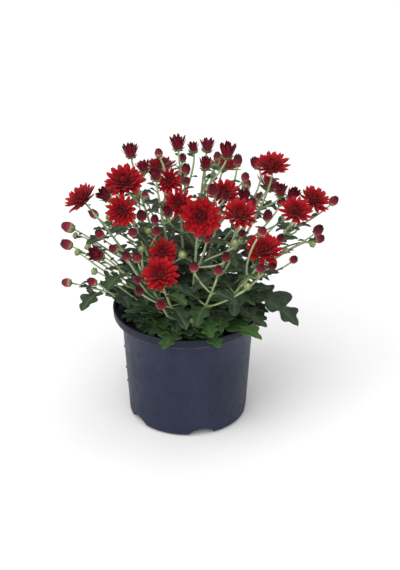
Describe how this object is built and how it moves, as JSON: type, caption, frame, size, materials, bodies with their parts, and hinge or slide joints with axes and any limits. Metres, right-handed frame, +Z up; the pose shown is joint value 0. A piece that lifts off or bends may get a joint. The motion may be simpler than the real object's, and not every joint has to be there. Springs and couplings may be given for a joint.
{
  "type": "potted chrysanthemum",
  "caption": "Bushy garden chrysanthemum with red double blooms, opening flowers and round buds on thin stalks over lobed leaves, in a plain plastic nursery pot with notches round its foot.",
  "frame": {"origin": "middle of the pot's floor, on the surface that it stands on", "axes": "+Z up along the pot's axis, -Y towards the front of the plant"},
  "size_m": [0.3651, 0.2856, 0.3832],
  "materials": {
    "pot": "satin",
    "soil": "matte",
    "foliage": "matte",
    "petals": "matte",
    "opening_petals": "matte"
  },
  "bodies": {
    "root": {"bloom_back_left_2": "petals", "bloom_back_right_1": "petals", "bloom_far_right_1": "petals", "bloom_front_bloom_1": "petals", "bloom_left_back_1": "petals", "bloom_left_middle_1": "petals", "bloom_middle_1": "petals", "bloom_middle_front_1": "petals", "bloom_middle_left_2": "petals", "bloom_rear_left_1": "petals", "bloom_rear_middle_1": "petals", "bloom_rear_middle_4": "petals", "bloom_rear_right_1": "petals", "bloom_rear_right_middle_1": "petals", "bloom_right_1": "petals", "bloom_right_back_1": "petals", "bloom_right_low_1": "petals", "bloom_right_middle_1": "petals", "bloom_top_left_2": "petals", "half_back_left_1": "opening_petals", "half_far_right_2": "opening_petals", "half_left_1": "opening_petals", "half_left_back_2": "opening_petals", "half_middle_2": "opening_petals", "half_rear_left_2": "opening_petals", "half_right_back_4": "opening_petals", "half_right_middle_2": "opening_petals", "half_top_1": "opening_petals", "half_top_5": "opening_petals", "half_top_left_1": "opening_petals", "half_top_right_1": "opening_petals", "half_top_right_2": "opening_petals", "half_top_right_5": "opening_petals", "pot": "pot", "soil": "soil", "stem_back_left": "foliage", "stem_back_right": "foliage", "stem_far_right": "foliage", "stem_front_bloom": "foliage", "stem_front_left": "foliage", "stem_front_right": "foliage", "stem_left": "foliage", "stem_left_back": "foliage", "stem_left_low": "foliage", "stem_left_middle": "foliage", "stem_middle": "foliage", "stem_middle_front": "foliage", "stem_middle_left": "foliage", "stem_rear_left": "foliage", "stem_rear_middle": "foliage", "stem_rear_right": "foliage", "stem_rear_right_middle": "foliage", "stem_right": "foliage", "stem_right_back": "foliage", "stem_right_low": "foliage", "stem_right_middle": "foliage", "stem_top": "foliage", "stem_top_left": "foliage", "stem_top_right": "foliage"}
  },
  "joints": []
}
